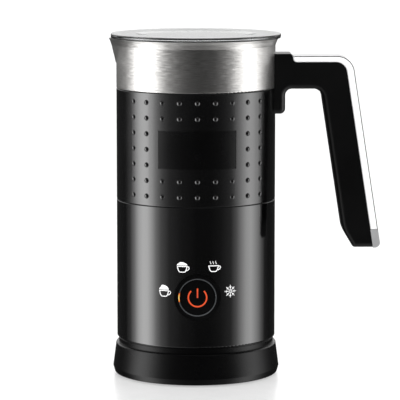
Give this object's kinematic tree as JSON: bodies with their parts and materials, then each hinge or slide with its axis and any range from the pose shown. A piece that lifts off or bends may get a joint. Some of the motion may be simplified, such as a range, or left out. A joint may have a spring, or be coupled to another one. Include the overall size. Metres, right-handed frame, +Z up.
{
  "type": "milk frother",
  "caption": "Jug-type electric milk frother with a steel vessel, soft grip sleeve, side handle, clear lid and a magnetic whisk, standing on a turning power base.",
  "frame": {"origin": "on the table, at the middle of the base's foot ring", "axes": "+Z up along the jug's axis, -Y towards the user and the controls, +X towards the handle"},
  "size_m": [0.1621, 0.1022, 0.2048],
  "materials": {
    "black_base": "moulded satin black",
    "gloss_black": "high gloss black",
    "soft_black": "soft-touch satin black",
    "steel": "circumferential brushing",
    "handle_black": "fine satin black",
    "trim_chrome": "satin chrome plate",
    "satin_metal": "satin",
    "clear_lid": "clear polished plastic",
    "black_silicone": "matte silicone",
    "foot_rubber": "matte",
    "label_black": "gloss film",
    "dial_black": "matte black",
    "ring_grey": "translucent grey light guide",
    "amber_light": "lit amber",
    "copper_brass": "bright",
    "plated_steel": "zinc plated",
    "motor_steel": "plated steel can",
    "aluminium": "machined",
    "element_metal": "oxidised tube",
    "white_nylon": "natural nylon",
    "board_green": "solder mask",
    "component_black": "moulded",
    "magnet_grey": "nickel plated",
    "ferrite": "matte ferrite"
  },
  "bodies": {
    "base": {"base_shell": "black_base", "base_plate": "black_base", "base_screws": "plated_steel", "foot_ring": "foot_rubber", "cord_gland": "black_silicone", "base_connector": "component_black", "base_contact_rings": "copper_brass", "base_earth_pin": "copper_brass"},
    "jug_socket": {"connector_socket": "component_black", "socket_contacts": "copper_brass"},
    "jug": {"bottom_cover": "black_base", "bottom_cover_screws": "plated_steel", "lower_housing": "gloss_black", "upper_shell": "component_black", "grip_sleeve": "soft_black", "label_plate": "label_black", "vessel": "steel", "vessel_seal": "black_silicone", "spindle": "satin_metal", "heater_plate": "aluminium", "heater_element": "element_metal", "thermal_fuse": "white_nylon", "temperature_sensor": "satin_metal", "drive_chassis": "white_nylon", "motor_can": "motor_steel", "motor_screws": "plated_steel", "motor_end_cap": "white_nylon", "motor_bush": "copper_brass", "field_magnets": "ferrite", "power_board": "board_green", "board_components": "component_black", "control_board": "board_green", "tact_switch": "component_black", "mode_leds": "white_nylon", "button_bezel": "dial_black", "light_ring": "ring_grey", "mode_light": "amber_light", "handle_frame": "handle_black", "handle_hanger": "plated_steel", "handle_screw": "plated_steel", "handle_trim": "trim_chrome", "handle_trim_cap": "satin_metal"},
    "rotor": {"motor_shaft": "satin_metal", "motor_armature": "motor_steel", "magnet_carrier": "white_nylon", "drive_magnets": "magnet_grey"},
    "whisk": {"whisk_hub": "component_black", "whisk_magnets": "magnet_grey", "whisk_coil": "satin_metal"},
    "button": {"power_button": "dial_black", "power_symbol_lens": "amber_light", "switch_plunger": "white_nylon"},
    "lid": {"lid_disc": "clear_lid", "lid_seal": "black_silicone"}
  },
  "joints": [
    {"name": "jug_lift", "type": "slide", "parent": "base", "child": "jug_socket", "axis": [0, 0, 1], "range_m": [0, 0.06]},
    {"name": "jug_swivel", "type": "hinge", "parent": "jug_socket", "child": "jug", "pos_m": [0, 0, 0.03], "axis": [0, 0, 1], "continuous": true},
    {"name": "lid_lift", "type": "slide", "parent": "jug", "child": "lid", "axis": [0, 0, 1], "range_m": [0, 0.06]},
    {"name": "motor_spin", "type": "hinge", "parent": "jug", "child": "rotor", "pos_m": [0, 0, 0.06], "axis": [0, 0, 1], "continuous": true},
    {"name": "whisk_lift", "type": "slide", "parent": "rotor", "child": "whisk", "axis": [0, 0, 1], "range_m": [0, 0.06]},
    {"name": "button_press", "type": "slide", "parent": "jug", "child": "button", "axis": [0, 1, 0], "range_m": [0, 0.0006], "stiffness_N_per_m": 300, "springref_m": -0.003}
  ]
}
